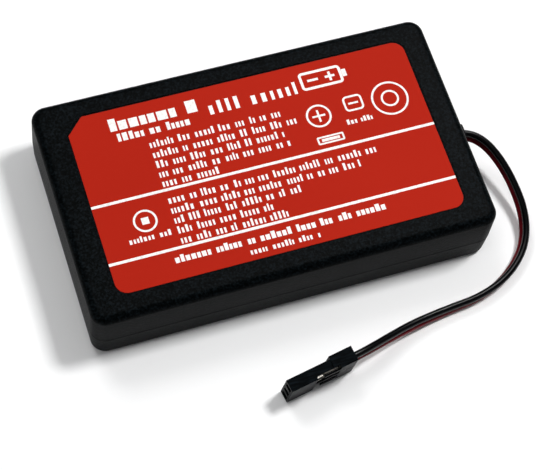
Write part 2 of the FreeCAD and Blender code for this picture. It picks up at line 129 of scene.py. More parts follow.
def make_piece(name, skins, material, sharp=30.0):
    """One object out of several skins in millimetres, riding on the pack, smooth but for its sharp edges."""
    points, faces = [], []
    for skin_points, skin_faces in skins:
        shift = sum(len(p) for p in points)
        points.append(skin_points)
        faces += [[i + shift for i in face] for face in skin_faces]
    mesh = bpy.data.meshes.new(name)
    mesh.from_pydata(np.vstack(points) * MM, [], faces)
    work = bmesh.new()
    work.from_mesh(mesh)
    bmesh.ops.remove_doubles(work, verts=work.verts, dist=1e-7)
    work.to_mesh(mesh)
    work.free()
    mesh.materials.append(material)
    mesh.shade_smooth()
    mesh.set_sharp_from_angle(angle=math.radians(sharp))
    thing = bpy.data.objects.new(name, mesh)
    bpy.context.scene.collection.objects.link(thing)
    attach(thing, "root")
    return thing


def linear(code):
    """sRGB hex to the linear colour that a shader takes."""
    parts = [int(code[i:i + 2], 16) / 255 for i in (1, 3, 5)]
    return [c / 12.92 if c <= 0.04045 else ((c + 0.055) / 1.055) ** 2.4 for c in parts] + [1.0]


def add(tree, kind, settings=None, inputs=None, ramp=None):
    """Adds a node: its own settings, then each input as a value or as the output that feeds it."""
    node = tree.nodes.new(kind)
    for name, value in (settings or {}).items():
        setattr(node, name, value)
    for name, value in (inputs or {}).items():
        if isinstance(value, bpy.types.NodeSocket):
            tree.links.new(value, node.inputs[name])
        else:
            node.inputs[name].default_value = value
    for element, (place, colour) in zip(node.color_ramp.elements if ramp else [], ramp or []):
        element.position, element.color = place, colour
    return node


def finish_of(name):
    """An empty material with its shader and its object coordinates, to be given a surface."""
    material = bpy.data.materials.new(name)
    material.use_nodes = True
    tree = material.node_tree
    shader = tree.nodes["Principled BSDF"]
    where = tree.nodes.new("ShaderNodeTexCoord").outputs["Object"]
    return material, tree, shader, where


# Black ABS from a spark-eroded mould: an even, fine pitted grain, satin rather than glossy, so the top
# shows a soft grey haze where a bright surface is reflected and the rounded edges stay black. The real
# grain is about 0.15 mm; it is drawn at 0.4 mm so that it shows.
GRAIN = 0.4 * MM
abs_plastic, tree, shader, where = finish_of("abs_spark_eroded_black")
grain = add(tree, "ShaderNodeTexNoise",
            inputs={"Vector": where, "Scale": 1 / GRAIN, "Detail": 3.0, "Roughness": 0.6})
drift = add(tree, "ShaderNodeTexNoise", inputs={"Vector": where, "Scale": 1 / (14 * MM), "Detail": 2.0})
tone = add(tree, "ShaderNodeValToRGB", inputs={"Fac": grain.outputs["Fac"]},
           ramp=[(0.45, linear("#010202")), (0.68, linear("#101518"))])
gloss = add(tree, "ShaderNodeMapRange",
            inputs={"Value": drift.outputs["Fac"], "To Min": 0.36, "To Max": 0.42})
pits = add(tree, "ShaderNodeBump",
           inputs={"Height": grain.outputs["Fac"], "Strength": 0.8, "Distance": 0.08 * MM})
tree.links.new(tone.outputs["Color"], shader.inputs["Base Color"])
tree.links.new(gloss.outputs["Result"], shader.inputs["Roughness"])
tree.links.new(pits.outputs["Normal"], shader.inputs["Normal"])
shader.inputs["IOR"].default_value = 1.53
shader.inputs["Specular IOR Level"].default_value = 0.02

case_high = node_box("upper_shell")[1]
PARTING, WALL, FLOOR, CEILING = 6.5, 1.5, 1.2, 1.3
CASE_CORNER, SEAM = 3.0, 0.12
UPPER_DRAFT, LOWER_DRAFT = math.radians(1), math.radians(2)
TOP_ROUND, BOTTOM_ROUND = 1.6, 1.2
TONGUE_TOP, TONGUE_OUTSIDE, REBATE_OUTSIDE = node_box("lower_shell")[1][2], 0.9, 0.875
EDGE_TURN = np.linspace(0, 1, 13)
CORNER_STEPS = 12

# Openings in the lead end's wall, between y values and between heights.
NECK_Y, NECK_Z = (-1.55, 0.55), (5.55, 8.75)
LAMP_Y, LAMP_Z = (4.2, 6.6), (4.7, 5.9)
MOUTH_Y, MOUTH_Z = (7.95, 16.05), (3.9, 7.1)

half_length, half_width = case_high[0], case_high[1]
run = half_width - CASE_CORNER
lead_end_stops = np.array([-16.0, -12.0, -8.0, -4.0, *NECK_Y, *LAMP_Y, *MOUTH_Y, 18.0])
even_stops = np.linspace(0, 1, 10)[1:-1]
case_track = walk([(half_length, -half_width), (half_length, half_width),
                   (-half_length, half_width), (-half_length, -half_width)],
                  [CASE_CORNER] * 4, [CORNER_STEPS] * 4,
                  [(lead_end_stops + run) / (2 * run), even_stops, even_stops, even_stops])


def steps_between(y_pair):
    """The steps of the case's outline at two of the stops on the lead end."""
    first = CORNER_STEPS + 1
    return [first + int(np.argmin(abs(lead_end_stops - y))) for y in y_pair]


bottom_turn = np.radians(-90) + (np.radians(90) - LOWER_DRAFT) * EDGE_TURN
bottom_inset = BOTTOM_ROUND / math.cos(LOWER_DRAFT) + (PARTING - BOTTOM_ROUND) * math.tan(LOWER_DRAFT)
outer_heights = np.array([MOUTH_Z[0], LAMP_Z[0], NECK_Z[0], LAMP_Z[1], PARTING - SEAM])
inner_heights = np.array([TONGUE_TOP, LAMP_Z[1], NECK_Z[0], LAMP_Z[0], MOUTH_Z[0], FLOOR])
lower_profile = np.vstack([
    np.stack([bottom_inset - BOTTOM_ROUND * np.cos(bottom_turn),
              BOTTOM_ROUND + BOTTOM_ROUND * np.sin(bottom_turn)], -1),
    np.stack([(PARTING - outer_heights) * math.tan(LOWER_DRAFT), outer_heights], -1),
    [(SEAM, PARTING), (TONGUE_OUTSIDE, PARTING), (TONGUE_OUTSIDE, TONGUE_TOP)],
    np.stack([np.full(len(inner_heights), WALL), inner_heights], -1)])
outer_rows = len(bottom_turn)
mouth_sill, lamp_sill, neck_sill, lamp_top = outer_rows, outer_rows + 1, outer_rows + 2, outer_rows + 3
inner_rows = outer_rows + len(outer_heights) + 3
lamp_top_in, neck_sill_in, lamp_sill_in, mouth_sill_in = (inner_rows + k for k in (1, 2, 3, 4))
joint_row = inner_rows
lower_openings = [((mouth_sill, joint_row), (joint_row, mouth_sill_in), steps_between(MOUTH_Y)),
                  ((neck_sill, joint_row), (joint_row, neck_sill_in), steps_between(NECK_Y)),
                  ((lamp_sill, lamp_top), (lamp_top_in, lamp_sill_in), steps_between(LAMP_Y))]
lower_skin = loft(rings(case_track, lower_profile[:, 0], lower_profile[:, 1]), lower_openings)

RIB_X, RIB_HALF, RIB_FROM = np.array([-30.0, -12.0, 6.0]), 0.6, 19.2
ROOT = 0.2                           # how deep a rib, post or stake is sunk in the wall it grows from
RIB_TO = half_width - WALL + ROOT
LOWER_RIB_TOP, UPPER_RIB_FOOT = PARTING - 0.5, PARTING + 1.5
BOARD_UNDER, BOARD_OVER = node_box("circuit_board")[0][2], node_box("circuit_board")[1][2]
POSTS = [(28.2, -16.6), (28.2, 16.6), (36.4, -16.6), (33.0, 16.6)]
POST_R, PIN_R, PIN_TIP, PIN_CHAMFER = 1.3, 0.55, 0.4, 0.1


def ribs(low, high):
    """Six ribs, three along each long wall, from the wall to just short of the cells."""
    x = np.repeat(RIB_X, 2)
    inner = np.tile([-RIB_TO, RIB_FROM], 3)
    outer = np.tile([-RIB_FROM, RIB_TO], 3)
    return bars(np.stack([x - RIB_HALF, inner, np.full(6, low)], -1),
                np.stack([x + RIB_HALF, outer, np.full(6, high)], -1))


def turned(x, y, profile):
    """A turned skin about an upright line: each (radius, height) of the profile swept round a full circle."""
    profile = np.array(profile, float)
    angle = np.linspace(0, 2 * np.pi, 33)[:-1]
    circle = np.stack([np.cos(angle), np.sin(angle)], -1)
    flat = np.array([x, y]) + profile[:, 0][:, None, None] * circle[None]
    level = np.broadcast_to(profile[:, 1][:, None, None], flat.shape[:2] + (1,))
    return loft(np.concatenate([flat, level], -1))


posts = [turned(x, y, [(POST_R, FLOOR - ROOT), (POST_R, BOARD_UNDER), (PIN_R, BOARD_UNDER),
                       (PIN_R, BOARD_OVER + PIN_TIP - PIN_CHAMFER),
                       (PIN_R - PIN_CHAMFER, BOARD_OVER + PIN_TIP)])
         for x, y in POSTS]
lower_shell = make_piece("case_tray", [lower_skin, ribs(FLOOR - ROOT, LOWER_RIB_TOP), *posts],
                         abs_plastic)
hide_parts("lower_shell")

# ---------------------------------------------------------------- cells
# Two lithium-polymer pouches, one on the other: an aluminium foil between nylon and polypropylene
# films, pressed round the stack, with a flat heat-sealed edge at the end where the tabs come out.
def dress(material, *nodes):
    """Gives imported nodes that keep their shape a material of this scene."""
    for node in nodes:
        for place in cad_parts[node].material_slots:
            place.material = material


# Nylon over foil: silvery, with a soft shine and shallow wrinkles about 4 mm across.
pouch, tree, shader, where = finish_of("pouch_laminate_nylon_over_foil")
wrinkle = add(tree, "ShaderNodeTexNoise",
              inputs={"Vector": where, "Scale": 1 / (4 * MM), "Detail": 4.0, "Distortion": 0.6})
tone = add(tree, "ShaderNodeValToRGB", inputs={"Fac": wrinkle.outputs["Fac"]},
           ramp=[(0.3, linear("#a4a8ad")), (0.7, linear("#c6c9cc"))])
gloss = add(tree, "ShaderNodeMapRange",
            inputs={"Value": wrinkle.outputs["Fac"], "To Min": 0.3, "To Max": 0.45})
bump = add(tree, "ShaderNodeBump",
           inputs={"Height": wrinkle.outputs["Fac"], "Strength": 0.4, "Distance": 0.15 * MM})
tree.links.new(tone.outputs["Color"], shader.inputs["Base Color"])
tree.links.new(gloss.outputs["Result"], shader.inputs["Roughness"])
tree.links.new(bump.outputs["Normal"], shader.inputs["Normal"])
shader.inputs["Metallic"].default_value = 1.0
dress(pouch, "cell_upper", "cell_lower")

# ---------------------------------------------------------------- cell tabs
# Strips cut from rolled metal 0.15 mm thick, aluminium on the positive side and nickel on the
# negative, welded inside the pouch and bent down to the board.
def rolled_metal(name, dull, bright, roughness, run):
    """Strip metal: faint lines along the way it was rolled, drawn as noise stretched along it.

    The run gives how many times longer than wide a line is along X, Y and Z; a line is 0.15 mm wide."""
    metal, tree, shader, where = finish_of(name)
    along = add(tree, "ShaderNodeMapping", inputs={"Vector": where, "Scale": [1 / r for r in run]})
    line = add(tree, "ShaderNodeTexNoise",
               inputs={"Vector": along.outputs["Vector"], "Scale": 1 / (0.15 * MM), "Detail": 2.0})
    stain = add(tree, "ShaderNodeTexNoise", inputs={"Vector": where, "Scale": 1 / (1.5 * MM), "Detail": 2.0})
    tone = add(tree, "ShaderNodeValToRGB", inputs={"Fac": stain.outputs["Fac"]},
               ramp=[(0.3, linear(dull)), (0.7, linear(bright))])
    gloss = add(tree, "ShaderNodeMapRange",
                inputs={"Value": line.outputs["Fac"], "To Min": roughness - 0.05, "To Max": roughness + 0.08})
    bump = add(tree, "ShaderNodeBump",
               inputs={"Height": line.outputs["Fac"], "Strength": 0.15, "Distance": 0.01 * MM})
    tree.links.new(tone.outputs["Color"], shader.inputs["Base Color"])
    tree.links.new(gloss.outputs["Result"], shader.inputs["Roughness"])
    tree.links.new(bump.outputs["Normal"], shader.inputs["Normal"])
    shader.inputs["Metallic"].default_value = 1.0
    return metal


# Bright rolled aluminium is bluish and shiny; nickel is warmer and a little duller.
dress(rolled_metal("aluminium_rolled", "#c6c9cc", "#dcdfe2", 0.25, (12, 1, 1)),
      "cell_upper_tab_positive", "cell_lower_tab_positive")
dress(rolled_metal("nickel_rolled", "#aaa59b", "#c2bdb2", 0.32, (12, 1, 1)),
      "cell_upper_tab_negative", "cell_lower_tab_negative")

# ---------------------------------------------------------------- pads, tape and insulation
# Die-cut sheets: two polyurethane foam pads that keep the cells from rattling, double-sided acrylic
# tape between the cells, and polyimide film that keeps the tabs off the cover.
# Polyurethane foam: matt charcoal, its surface a mesh of cut bubbles 0.5 mm across.
foam, tree, shader, where = finish_of("polyurethane_foam_charcoal")
bubbles = add(tree, "ShaderNodeTexVoronoi", inputs={"Vector": where, "Scale": 1 / (0.5 * MM)})
tone = add(tree, "ShaderNodeValToRGB", inputs={"Fac": bubbles.outputs["Distance"]},
           ramp=[(0.1, linear("#17181a")), (0.6, linear("#3b3d40"))])
bump = add(tree, "ShaderNodeBump",
           inputs={"Height": bubbles.outputs["Distance"], "Strength": 0.8, "Distance": 0.2 * MM})
tree.links.new(tone.outputs["Color"], shader.inputs["Base Color"])
tree.links.new(bump.outputs["Normal"], shader.inputs["Normal"])
shader.inputs["Roughness"].default_value = 0.95
dress(foam, "lower_foam_pad", "upper_foam_pad")

# Acrylic tape on tissue: cream, cloudy, with tissue fibres 0.3 mm apart.
tape, tree, shader, where = finish_of("acrylic_tissue_tape_cream")
fibre = add(tree, "ShaderNodeTexNoise",
            inputs={"Vector": where, "Scale": 1 / (0.3 * MM), "Detail": 4.0, "Distortion": 1.5})
tone = add(tree, "ShaderNodeValToRGB", inputs={"Fac": fibre.outputs["Fac"]},
           ramp=[(0.35, linear("#cfc8ae")), (0.65, linear("#e6e1cf"))])
tree.links.new(tone.outputs["Color"], shader.inputs["Base Color"])
shader.inputs["Roughness"].default_value = 0.6
dress(tape, "cell_bonding_tape")

# Polyimide film: clear amber and glossy, slightly darker where the adhesive is thicker.
polyimide, tree, shader, where = finish_of("polyimide_film_amber")
adhesive = add(tree, "ShaderNodeTexNoise", inputs={"Vector": where, "Scale": 1 / (2 * MM), "Detail": 2.0})
tone = add(tree, "ShaderNodeValToRGB", inputs={"Fac": adhesive.outputs["Fac"]},
           ramp=[(0.3, linear("#8f4a08")), (0.7, linear("#c27a14"))])
tree.links.new(tone.outputs["Color"], shader.inputs["Base Color"])
shader.inputs["Roughness"].default_value = 0.22
shader.inputs["IOR"].default_value = 1.7
dress(polyimide, "tab_insulation")

# ---------------------------------------------------------------- circuit board
# Glass-epoxy laminate 1 mm thick, routed to fit round the posts, with green solder mask over the
# copper; the glass weave shows faintly through it, one bundle every 0.5 mm.
WAVE_UNIT = 0.314                    # the wave texture's scale that gives one band per unit of length
board, tree, shader, where = finish_of("glass_epoxy_green_mask")
bundles = {"Vector": where, "Scale": WAVE_UNIT / (0.5 * MM), "Distortion": 0.4}
warp = add(tree, "ShaderNodeTexWave", {"bands_direction": "X"}, bundles)
weft = add(tree, "ShaderNodeTexWave", {"bands_direction": "Y"}, bundles)
weave = add(tree, "ShaderNodeMath", {"operation": "MULTIPLY"},
            {0: warp.outputs["Fac"], 1: weft.outputs["Fac"]})
copper = add(tree, "ShaderNodeTexVoronoi", {"distance": "CHEBYCHEV"},
             {"Vector": where, "Scale": 1 / (2.2 * MM)})
under = add(tree, "ShaderNodeValToRGB", inputs={"Fac": copper.outputs["Distance"]},
            ramp=[(0.42, linear("#1a6b3c")), (0.46, linear("#0e4527"))])
tone = add(tree, "ShaderNodeMix", {"data_type": "RGBA"},
           {"Factor": weave.outputs["Value"], "A": linear("#0c3a21"), "B": under.outputs["Color"]})
tree.links.new(tone.outputs["Result"], shader.inputs["Base Color"])
bump = add(tree, "ShaderNodeBump",
           inputs={"Height": weave.outputs["Value"], "Strength": 0.1, "Distance": 0.02 * MM})
tree.links.new(bump.outputs["Normal"], shader.inputs["Normal"])
shader.inputs["Roughness"].default_value = 0.3
dress(board, "circuit_board")

# ---------------------------------------------------------------- parts on the board
# Soldered on: a charging chip, a protection chip and its pair of transistors in moulded epoxy, a
# polymer fuse, ceramic capacitors, thick-film resistors and the thermistor.
def fired_or_moulded(name, dark, light, grain_mm, roughness, relief):
    """A hard, opaque body with an even speckle: noise of one grain size sets its colour and its relief."""
    body, tree, shader, where = finish_of(name)
    speck = add(tree, "ShaderNodeTexNoise",
                inputs={"Vector": where, "Scale": 1 / (grain_mm * MM), "Detail": 3.0})
    tone = add(tree, "ShaderNodeValToRGB", inputs={"Fac": speck.outputs["Fac"]},
               ramp=[(0.35, linear(dark)), (0.65, linear(light))])
    bump = add(tree, "ShaderNodeBump",
               inputs={"Height": speck.outputs["Fac"], "Strength": relief, "Distance": 0.02 * MM})
    tree.links.new(tone.outputs["Color"], shader.inputs["Base Color"])
    tree.links.new(bump.outputs["Normal"], shader.inputs["Normal"])
    shader.inputs["Roughness"].default_value = roughness
    return body


# Moulded epoxy is matt black with a fine sand; fired ceramic is a smooth tan; the thick-film parts
# carry a glossy black glaze, and the fuse a dark green one.
dress(fired_or_moulded("moulding_epoxy_black", "#121314", "#212325", 0.12, 0.55, 0.5),
      "charge_chip", "protection_chip", "protection_transistors")
dress(fired_or_moulded("fired_ceramic_tan", "#8d6c45", "#a98757", 0.25, 0.35, 0.2), "capacitors")
dress(fired_or_moulded("thick_film_glaze_black", "#101011", "#1e1f20", 0.2, 0.2, 0.1),
      "resistors", "thermistor")
dress(fired_or_moulded("fuse_glaze_green", "#17412c", "#23573c", 0.3, 0.25, 0.1), "resettable_fuse")

# Solder that has wetted the wires: bright domes with a slightly dull, frosty skin in patches.
dress(rolled_metal("solder_tin", "#a9adb1", "#d6d9dc", 0.24, (1, 1, 1)), "lead_solder")

# ---------------------------------------------------------------- charge lamp and light pipe
# A lamp on the board's edge, in a cloudy epoxy lens, and a small clear acrylic bar that carries its
# light through the wall and ends flush with it.
lens_epoxy, tree, shader, where = finish_of("cast_epoxy_lens_milky")
cloud = add(tree, "ShaderNodeTexNoise", inputs={"Vector": where, "Scale": 1 / (0.4 * MM), "Detail": 1.0})
tone = add(tree, "ShaderNodeValToRGB", inputs={"Fac": cloud.outputs["Fac"]},
           ramp=[(0.3, linear("#d9d2b8")), (0.7, linear("#efe9d6"))])
tree.links.new(tone.outputs["Color"], shader.inputs["Base Color"])
shader.inputs["Roughness"].default_value = 0.25
shader.inputs["Transmission Weight"].default_value = 0.3
dress(lens_epoxy, "charge_led")

# Moulded acrylic with a frosted end: mostly clear, grey-white where light scatters in it.
acrylic, tree, shader, where = finish_of("acrylic_frosted_clear")
frost = add(tree, "ShaderNodeTexNoise", inputs={"Vector": where, "Scale": 1 / (0.15 * MM), "Detail": 2.0})
tone = add(tree, "ShaderNodeValToRGB", inputs={"Fac": frost.outputs["Fac"]},
           ramp=[(0.3, linear("#cdd2d4")), (0.7, linear("#eceff0"))])
gloss = add(tree, "ShaderNodeMapRange",
            inputs={"Value": frost.outputs["Fac"], "To Min": 0.25, "To Max": 0.45})
tree.links.new(tone.outputs["Color"], shader.inputs["Base Color"])
tree.links.new(gloss.outputs["Result"], shader.inputs["Roughness"])
shader.inputs["Transmission Weight"].default_value = 0.6
shader.inputs["IOR"].default_value = 1.49
dress(acrylic, "light_pipe")

# ---------------------------------------------------------------- charging socket
# A small socket at the lead end: a can folded from nickel-plated steel strip, a black plastic tongue
# in it, and five gilt contact strips on the tongue.
dress(rolled_metal("steel_nickel_plated", "#b4b5b6", "#cfd0d1", 0.26, (10, 1, 1)), "usb_socket_shell")
dress(fired_or_moulded("liquid_crystal_polymer_black", "#0e0e0f", "#1a1a1c", 0.3, 0.45, 0.3),
      "usb_socket_tongue")
dress(rolled_metal("contact_gold_flash", "#c8963c", "#e0b45a", 0.2, (8, 1, 1)), "usb_socket_contacts")

# ---------------------------------------------------------------- upper shell of the case
# The cover, moulded in the same ABS: drafted walls, a generous round along the top edge, a shallow
# recess for the label with one cut corner, the rebate that takes the tongue, and two stakes that
# press on the board.
label_low, label_high = node_box("face_label")
LABEL_CORNER, LABEL_CUT, LABEL_GAP, LIP = 2.4, 3.4, 0.25, 0.05


def label_ring(grow, height):
    """The label's outline as one ring with as many steps as the case's, with its far left corner cut."""
    left, right = label_low[0] - grow, label_high[0] + grow
    near, far = label_low[1] - grow, label_high[1] + grow
    corner = LABEL_CORNER + grow
    stops = (lead_end_stops + run) / (2 * run)
    places, ways, reach = walk(
        [(right, near), (right, far), (left + LABEL_CUT, far), (left, far - LABEL_CUT), (left, near)],
        [corner, corner, 0, 0, corner], [CORNER_STEPS, CORNER_STEPS, 0, 0, CORNER_STEPS],
        [stops, even_stops, np.linspace(0, 1, CORNER_STEPS + 1)[1:-1], even_stops, even_stops])
    flat = places + reach[:, None] * ways
    return np.concatenate([flat, np.full((len(flat), 1), height)], -1)


top = case_high[2]
top_turn = UPPER_DRAFT + (np.radians(90) - UPPER_DRAFT) * EDGE_TURN
top_centre = top - TOP_ROUND
top_inset = TOP_ROUND / math.cos(UPPER_DRAFT) + (top_centre - PARTING) * math.tan(UPPER_DRAFT)
REBATE_GAP, PIN_PLAY = 0.05, 0.1     # over the tongue, and round a pin in its stake
rebate_top = TONGUE_TOP + REBATE_GAP
upper_outer = np.array([MOUTH_Z[1], NECK_Z[1]])
upper_profile = np.vstack([
    [(WALL, top - CEILING), (WALL, NECK_Z[1]), (WALL, rebate_top), (REBATE_OUTSIDE, rebate_top),
     (REBATE_OUTSIDE, MOUTH_Z[1]), (REBATE_OUTSIDE, PARTING), (SEAM, PARTING), (0, PARTING + SEAM)],
    np.stack([(upper_outer - PARTING) * math.tan(UPPER_DRAFT), upper_outer], -1),
    np.stack([top_inset - TOP_ROUND * np.cos(top_turn), top_centre + TOP_ROUND * np.sin(top_turn)], -1)])
upper_rings = np.concatenate([rings(case_track, upper_profile[:, 0], upper_profile[:, 1]),
                              label_ring(LABEL_GAP + LIP, top)[None], label_ring(LABEL_GAP, top - LIP)[None],
                              label_ring(LABEL_GAP, label_low[2])[None]])
neck_in, mouth_in, mouth_out, neck_out = 1, 4, 8, 9
upper_skin = loft(upper_rings, [((neck_in, 6), (6, neck_out), steps_between(NECK_Y)),
                                ((mouth_in, 6), (6, mouth_out), steps_between(MOUTH_Y))])
stakes = [turned(x, y, [(PIN_R + PIN_PLAY, BOARD_OVER + 2 * PIN_TIP), (PIN_R + PIN_PLAY, BOARD_OVER),
                        (POST_R, BOARD_OVER), (POST_R, top - CEILING + ROOT)]) for x, y in POSTS[:2]]
upper_shell = make_piece("case_cover", [upper_skin, ribs(UPPER_RIB_FOOT, top - CEILING + ROOT), *stakes],
                         abs_plastic)
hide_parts("upper_shell")

# ---------------------------------------------------------------- label
# A die-cut polyester film, flood-printed red with a matt overlay, stuck in the recess. The printing is
# white: rows of plain blocks stand where words would be, with a few plain signs and two ruled lines.
FILM_EDGE, FILM_BELOW = 0.03, 0.03   # softened cut edge, and room over the film for the ink
FILM_TOP = label_high[2] - FILM_BELOW
film_rings = np.stack([label_ring(0, label_low[2]), label_ring(0, FILM_TOP - FILM_EDGE),
                       label_ring(-FILM_EDGE, FILM_TOP)])

# Matt polyester: an even brick red whose overlay has a very fine tooth, so highlights are broad and dull.
red_film, tree, shader, where = finish_of("polyester_film_red_matt")
tooth = add(tree, "ShaderNodeTexNoise", inputs={"Vector": where, "Scale": 1 / (0.3 * MM), "Detail": 2.0})
cloud = add(tree, "ShaderNodeTexNoise", inputs={"Vector": where, "Scale": 1 / (25 * MM), "Detail": 1.0})
tone = add(tree, "ShaderNodeMix", {"data_type": "RGBA"},
           {"Factor": cloud.outputs["Fac"], "A": linear("#a41f10"), "B": linear("#ac2313")})
bump = add(tree, "ShaderNodeBump",
           inputs={"Height": tooth.outputs["Fac"], "Strength": 0.2, "Distance": 0.02 * MM})
tree.links.new(tone.outputs["Result"], shader.inputs["Base Color"])
tree.links.new(bump.outputs["Normal"], shader.inputs["Normal"])
shader.inputs["Roughness"].default_value = 0.55
shader.inputs["IOR"].default_value = 1.46
shader.inputs["Specular IOR Level"].default_value = 0.03

# White screen ink, a little thick: opaque, matt, with the faint unevenness of a printed edge.
white_ink, tree, shader, where = finish_of("screen_ink_white")
patch = add(tree, "ShaderNodeTexNoise", inputs={"Vector": where, "Scale": 1 / (0.6 * MM), "Detail": 2.0})
tone = add(tree, "ShaderNodeValToRGB", inputs={"Fac": patch.outputs["Fac"]},
           ramp=[(0.3, linear("#dedad6")), (0.6, linear("#f7f5f2"))])
tree.links.new(tone.outputs["Color"], shader.inputs["Base Color"])
shader.inputs["Roughness"].default_value = 0.6

label = make_piece("label_film", [loft(film_rings)], red_film)
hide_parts("face_label")

INK_SUNK = 0.01                      # the ink starts inside the film and ends below the case's top
INK_LOW, INK_HIGH = FILM_TOP - INK_SUNK, label_high[2] - INK_SUNK
RULES, RULE_WIDTH = (-0.39, -12.45), 0.56
PRINT_LEFT = -20.0
rng = np.random.default_rng(11)


def word_row(left, right, middle, height, pitch, weight):
    """A row of print: upright blocks of random width, with every few left out as a space.

    The pitch is a block's step as a share of the height, and steps are scaled so that the row just fills
    its length. The weight is the share of its step that a block covers. Most blocks are as tall as a
    small letter, and about one in four as tall as a capital."""
    count = int((right - left) / (pitch * height))
    width = rng.uniform(0.6, 1.0, count)
    ends = np.cumsum(width) * (right - left) / width.sum()
    starts = ends - width * (right - left) / width.sum()
    space = np.cumsum(rng.integers(3, 8, count))
    letters = np.setdiff1d(np.arange(count), space)
    tall = rng.random(len(letters)) < 0.25
    gap = (ends - starts)[letters] * (1 - weight) / 2
    low = np.stack([left + starts[letters] + gap, np.full(len(letters), middle - height / 2),
                    np.full(len(letters), INK_LOW)], -1)
    high = np.stack([left + ends[letters] - gap, middle + height * np.where(tall, 0.5, 0.22),
                     np.full(len(letters), INK_HIGH)], -1)
    return bars(low, high)


def solid_line(x0, x1, y0, y1):
    """A plain printed rectangle."""
    return bars((x0, y0, INK_LOW), (x1, y1, INK_HIGH))


def outlined(corners, radii, steps, line):
    """A printed outline: the strip between a rounded polygon and the same polygon pulled in."""
    track = walk(corners, radii, steps, [()] * len(corners))
    outer, inner = rings(track, [0, line], [INK_HIGH, INK_HIGH])
    under = outer * (1, 1, 0) + (0, 0, INK_LOW), inner * (1, 1, 0) + (0, 0, INK_LOW)
    loops = np.stack([under[0], outer, inner, under[1]])
    around = loops.shape[1]
    loop, step = np.meshgrid(np.arange(4), np.arange(around), indexing="ij")
    after, above = (step + 1) % around, (loop + 1) % 4
    quads = np.stack([loop * around + step, loop * around + after,
                      above * around + after, above * around + step], -1)
    return loops.reshape(-1, 3), quads.reshape(-1, 4).tolist()


def square(x, y, wide, high):
    """The corners of a rectangle about a middle, anticlockwise."""
    return [(x + wide / 2, y - high / 2), (x + wide / 2, y + high / 2),
            (x - wide / 2, y + high / 2), (x - wide / 2, y - high / 2)]


def plus(x, y, size, line):
    """A plus sign out of one bar across and two stubs that meet it."""
    half = line / 2
    return [solid_line(x - size / 2, x + size / 2, y - half, y + half),
            solid_line(x - half, x + half, y + half, y + size / 2),
            solid_line(x - half, x + half, y - size / 2, y - half)]


marks = [solid_line(label_low[0], label_high[0], y - RULE_WIDTH / 2, y + RULE_WIDTH / 2) for y in RULES]
# Heading, in heavy and in light blocks, and the line under it.
marks += [word_row(-26.3, -8.6, 15.5, 2.7, 0.72, 0.8), word_row(-7.2, 11.4, 14.1, 2.7, 0.6, 0.45),
          word_row(-25.4, -9.8, 12.6, 1.7, 0.6, 0.7)]
# The ratings above the first rule draw together downwards; the cautions below it are evenly spaced.
marks += [word_row(PRINT_LEFT, right, 9.6 - 2.28 * k + 0.035 * k ** 2, 1.5, 0.5, 0.55)
          for k, right in enumerate((6.3, 8.9, 5.7, 6.3, -7.9))]
marks += [word_row(PRINT_LEFT, right, -2.6 - 2.12 * k, 1.5, 0.5, 0.55)
          for k, right in enumerate((21.7, 17.8, 5.1, -1.1, 2.0))]
marks += [word_row(-22.2, 19.4, -14.6, 1.5, 0.62, 0.75), word_row(-8.3, 5.6, -16.9, 1.2, 0.6, 0.6),
          word_row(-29.3, -21.0, -8.9, 1.2, 0.6, 0.6), word_row(18.0, 23.4, 4.2, 1.1, 0.6, 0.65)]
# A ring with a square in its middle, beside the cautions.
marks += [outlined(square(-25.1, -5.5, 4.6, 4.6), [2.3] * 4, [12] * 4, 0.4),
          solid_line(-25.8, -24.4, -6.2, -4.8)]
# A cell with its two poles, a plus in a circle, a minus in a rounded square, two rings, and a bar.
marks += [outlined(square(16.4, 14.9, 8.6, 4.0), [0.8] * 4, [6] * 4, 0.55),
          solid_line(20.75, 21.6, 14.1, 15.7), solid_line(13.6, 15.8, 14.65, 15.15),
          *plus(18.2, 14.9, 2.0, 0.5)]
marks += [outlined(square(13.3, 7.0, 5.0, 5.0), [2.5] * 4, [12] * 4, 0.4), *plus(13.3, 7.0, 2.6, 0.4)]
marks += [outlined(square(20.7, 8.0, 3.9, 3.4), [0.9] * 4, [6] * 4, 0.4), solid_line(19.7, 21.7, 7.8, 8.2)]
marks += [outlined(square(28.0, 7.1, 7.4, 7.4), [3.7] * 4, [16] * 4, 0.4),
          outlined(square(28.0, 7.1, 3.6, 3.6), [1.8] * 4, [12] * 4, 0.4)]
marks += [outlined(square(14.0, 1.7, 5.4, 1.7), [0.3] * 4, [4] * 4, 0.35), solid_line(12.2, 15.8, 1.4, 2.0)]
make_piece("label_print", marks, white_ink)

# ---------------------------------------------------------------- lead
# Two stranded wires in soft PVC, 1.35 mm across, soldered to the board inside, held by the rubber
# collar in the wall and crimped into the connector. They lie one on the other, black on top.
WIRE = 1.35
BLACK_ROUTE = [
    (30.0, -3.3, 4.95), (34.0, -1.9, 6.6), (38.0, -0.3, 7.85), (42.3, -0.55, 7.8),
    (45.5, -2.8, 7.45), (47.6, -7.15, 6.55), (48.9, -12.7, 5.15), (49.25, -18.85, 3.5),
    (47.15, -24.95, 2.45), (42.0, -29.8, 2.2), (35.1, -32.6, 2.2), (27.3, -33.3, 2.3),
    (19.6, -34.5, 3.0), (13.4, -36.45, 4.35), (7.29, -38.63, 6.45), (1.98, -39.61, 6.45)]
RED_ROUTE = [
    (30.0, 2.1, 4.95), (34.0, 1.0, 5.3), (38.0, -0.5, 6.45), (42.3, -0.75, 6.4),
    (45.3, -3.0, 6.05), (47.35, -7.25, 5.15), (48.6, -12.7, 3.75), (48.85, -18.75, 2.1),
    (46.75, -24.65, 1.05), (41.75, -29.4, 0.8), (35.0, -32.5, 0.8), (27.3, -33.4, 0.85),
    (19.6, -34.8, 1.55), (13.35, -36.55, 2.65), (7.24, -38.37, 3.92), (1.94, -39.35, 3.92)]


